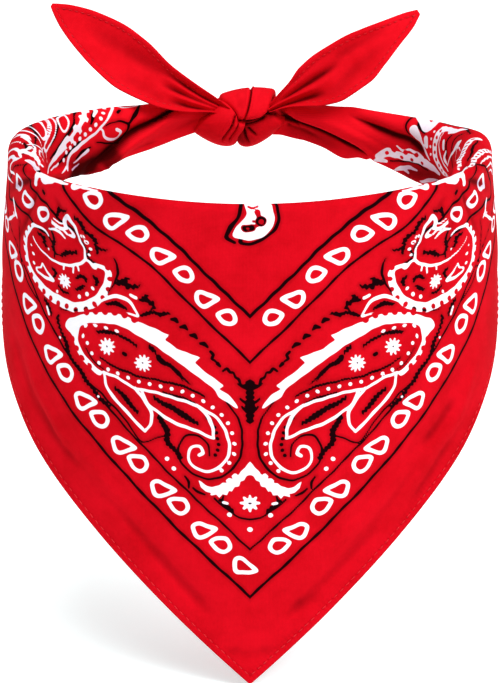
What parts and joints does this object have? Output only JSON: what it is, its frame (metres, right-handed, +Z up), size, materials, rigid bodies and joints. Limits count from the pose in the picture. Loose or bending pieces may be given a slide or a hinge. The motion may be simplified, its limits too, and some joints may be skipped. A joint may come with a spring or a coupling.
{
  "type": "bandana",
  "caption": "Square cotton bandana folded on its diagonal and tied into a ring, with a pointed bib in front and a knot with two tails behind.",
  "frame": {"origin": "middle of the ring, level with the top fold of the bib, where a neck passes through", "axes": "+Z up along the neck, -Y towards someone who faces the bib, +X to their right"},
  "size_m": [0.2014, 0.1612, 0.2401],
  "materials": {
    "cotton": "red plain-weave cotton printed with white and black paisley, soft and matt with a slight sheen",
    "hem": "narrow rolled hem of the same red cotton, stitched in red thread"
  },
  "bodies": {
    "root": {"bib": "cotton", "hem_left": "hem", "hem_right": "hem", "band_left": "cotton", "band_right": "cotton", "knot_wrap": "cotton", "knot_left_lobe": "cotton", "knot_right_lobe": "cotton", "tail_left": "cotton", "tail_right": "cotton"}
  },
  "joints": []
}
